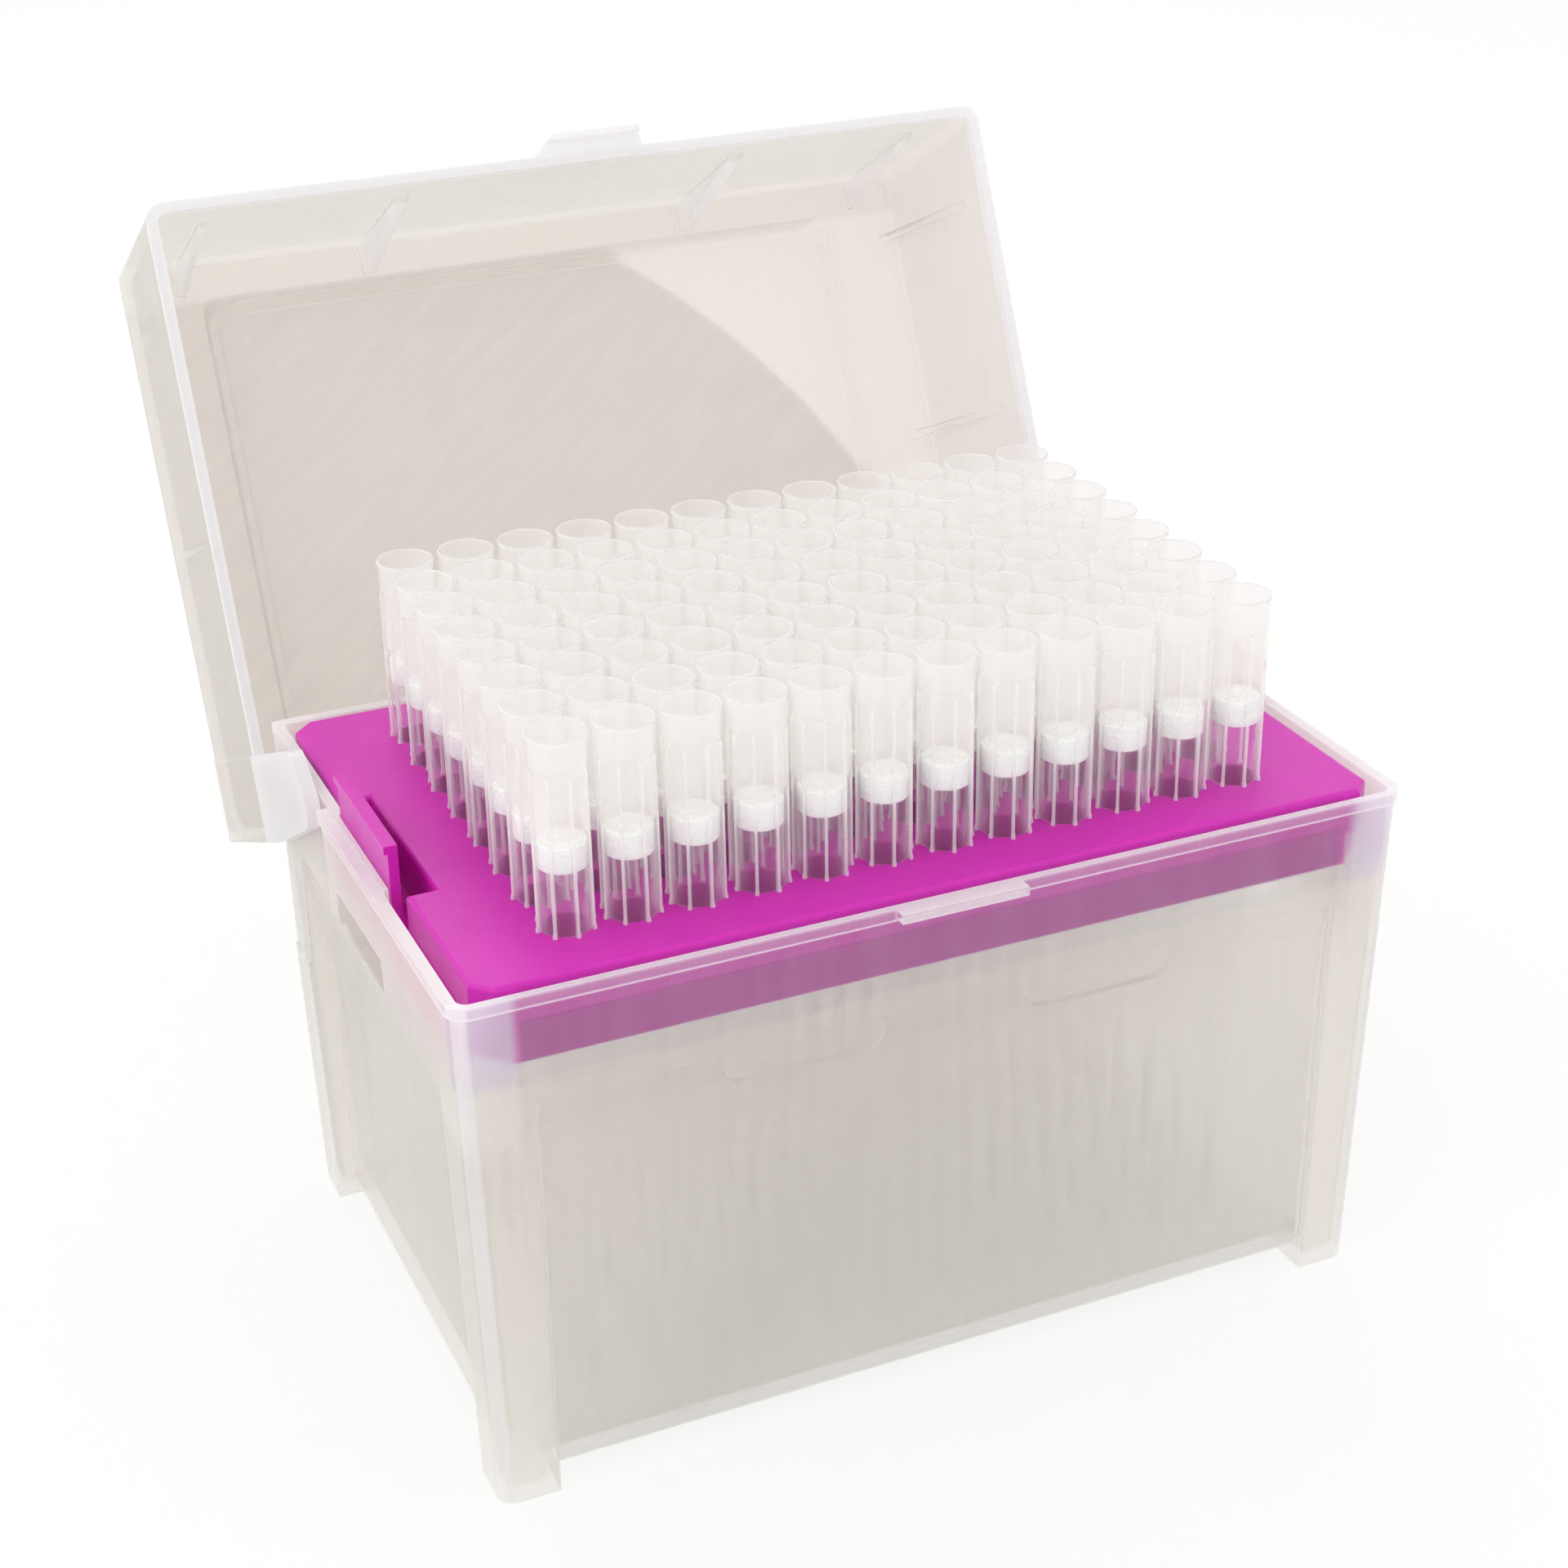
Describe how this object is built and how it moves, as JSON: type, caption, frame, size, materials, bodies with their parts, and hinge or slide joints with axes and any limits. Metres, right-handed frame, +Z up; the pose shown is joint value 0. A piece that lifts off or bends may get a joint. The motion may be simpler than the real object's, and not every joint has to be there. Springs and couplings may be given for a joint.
{
  "type": "box of pipette tips",
  "caption": "Open box of filtered pipette tips: translucent base with ledge and feet, hinged lid, magenta carrier plate and a grid of clear tips with white filter plugs.",
  "frame": {"origin": "on the ground under the middle of the tip grid", "axes": "+Z up, +Y from the front rim to the hinge, +X to the right seen from the front"},
  "size_m": [0.1402, 0.1674, 0.1506],
  "materials": {
    "frosted_shell": "natural translucent polypropylene, satin",
    "tray_plastic": "opaque magenta polypropylene, satin",
    "tip_plastic": "clear polypropylene, polished",
    "filter_plug": "white porous sintered plug, matt"
  },
  "bodies": {
    "base": {"box_base": "frosted_shell", "tip_tray": "tray_plastic", "tips_column_01": "tip_plastic", "tips_column_02": "tip_plastic", "tips_column_03": "tip_plastic", "tips_column_04": "tip_plastic", "tips_column_05": "tip_plastic", "tips_column_06": "tip_plastic", "tips_column_07": "tip_plastic", "tips_column_08": "tip_plastic", "tips_column_09": "tip_plastic", "tips_column_10": "tip_plastic", "tips_column_11": "tip_plastic", "tips_column_12": "tip_plastic", "filters_column_01": "filter_plug", "filters_column_02": "filter_plug", "filters_column_03": "filter_plug", "filters_column_04": "filter_plug", "filters_column_05": "filter_plug", "filters_column_06": "filter_plug", "filters_column_07": "filter_plug", "filters_column_08": "filter_plug", "filters_column_09": "filter_plug", "filters_column_10": "filter_plug", "filters_column_11": "filter_plug", "filters_column_12": "filter_plug"},
    "lid": {"lid": "frosted_shell"}
  },
  "joints": [
    {"name": "lid_hinge", "type": "hinge", "parent": "base", "child": "lid", "pos_m": [0, 0.0429, 0.071], "axis": [1, 0, 0], "range_deg": [0, 115]}
  ]
}
